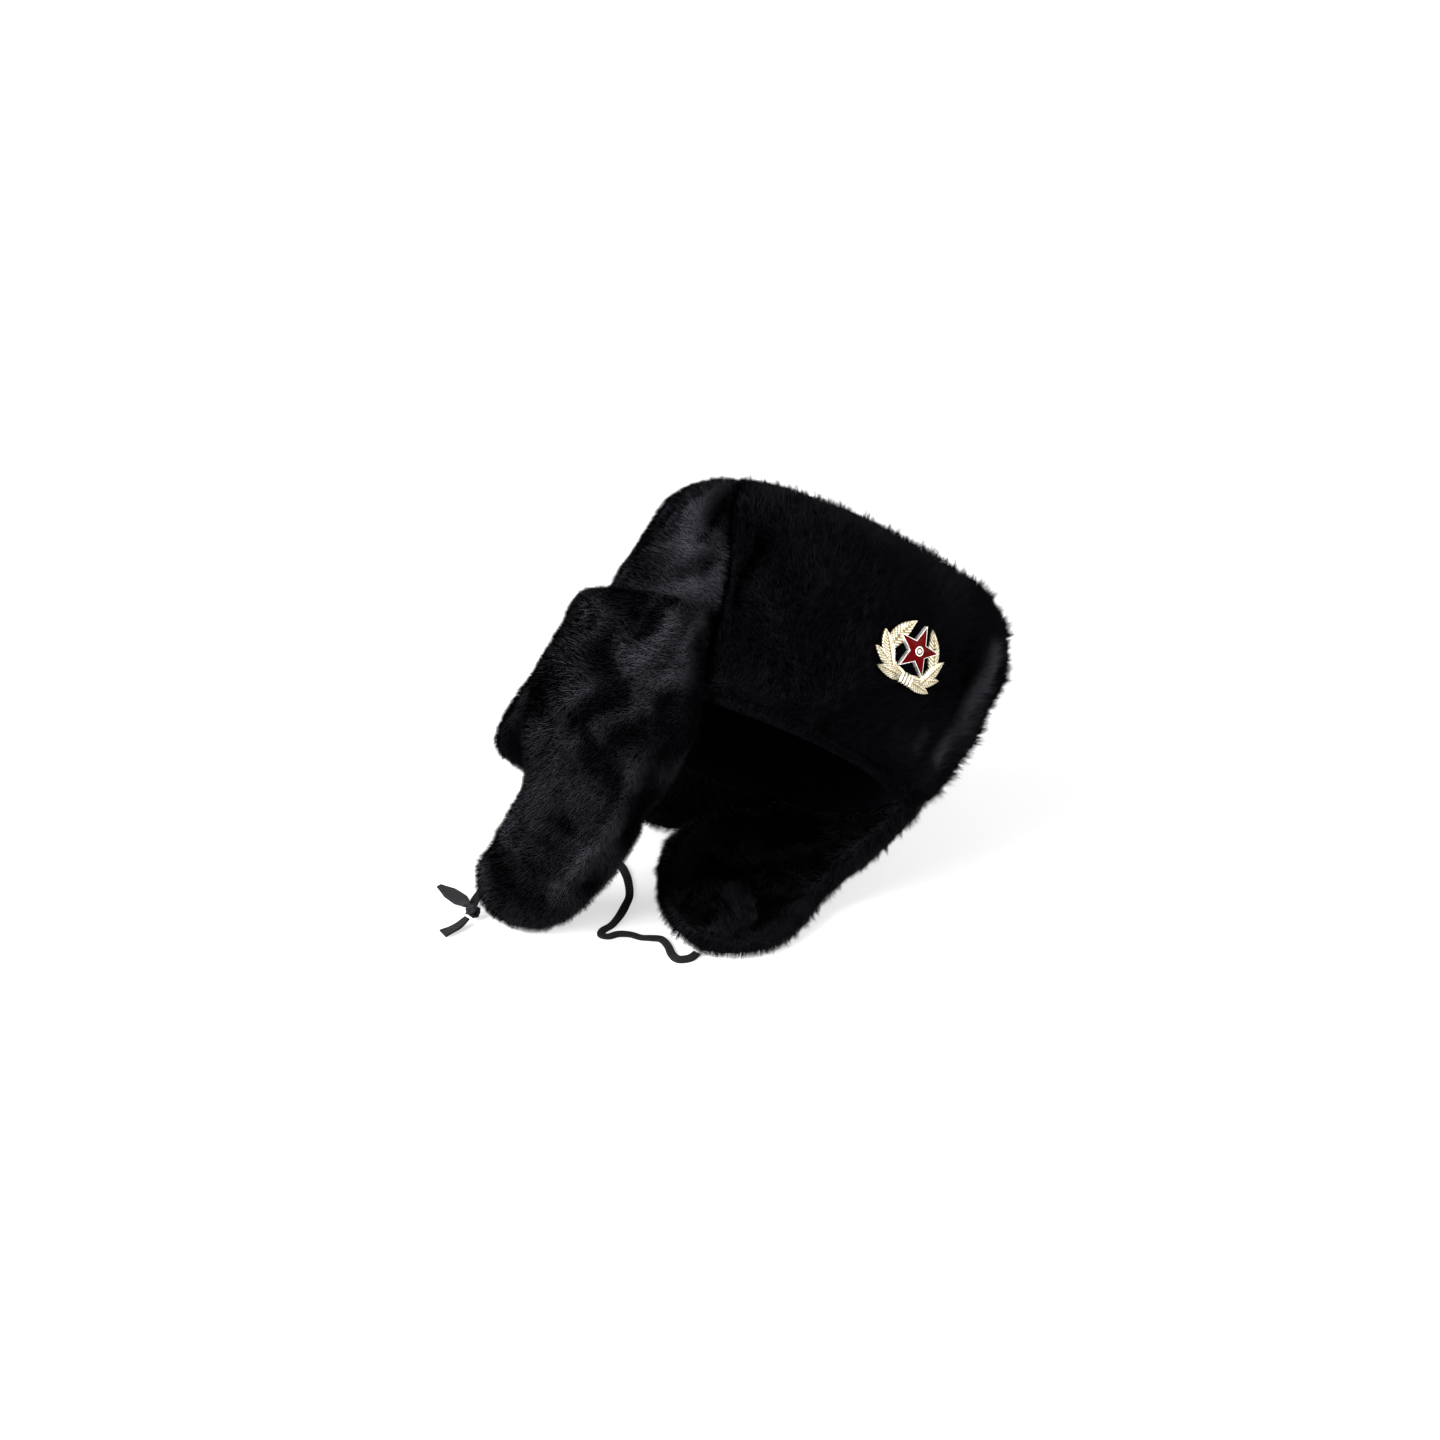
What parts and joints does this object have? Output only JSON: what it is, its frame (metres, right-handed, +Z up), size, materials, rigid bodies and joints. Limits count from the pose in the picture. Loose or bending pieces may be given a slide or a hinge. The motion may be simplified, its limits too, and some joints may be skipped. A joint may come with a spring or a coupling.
{
  "type": "fur hat with ear flaps",
  "caption": "Ushanka of short dark fur lying on its side, with a padded crown, a turned-up front flap with a star badge, ear flaps let down, a neck flap and a tape tie.",
  "frame": {"origin": "middle of the hat's box in plan, without its tie, on the surface that it lies on", "axes": "+Z up from the surface, -Y the way the front of the hat looks, +X the side that the crown leans to"},
  "size_m": [0.2581, 0.2172, 0.2349],
  "materials": {
    "fur": "short dense plush pile",
    "badge_metal": "pale gilt, polished",
    "badge_enamel": "glossy enamel",
    "tape": "woven tape"
  },
  "bodies": {
    "root": {"crown": "fur", "front_flap": "fur", "ear_flap_right": "fur", "ear_flap_left": "fur", "neck_flap": "fur", "badge_wreath": "badge_metal", "badge_enamel": "badge_enamel", "tie_cord": "tape", "tie_knot": "tape", "tie_end_upper": "tape", "tie_end_lower": "tape"}
  },
  "joints": []
}
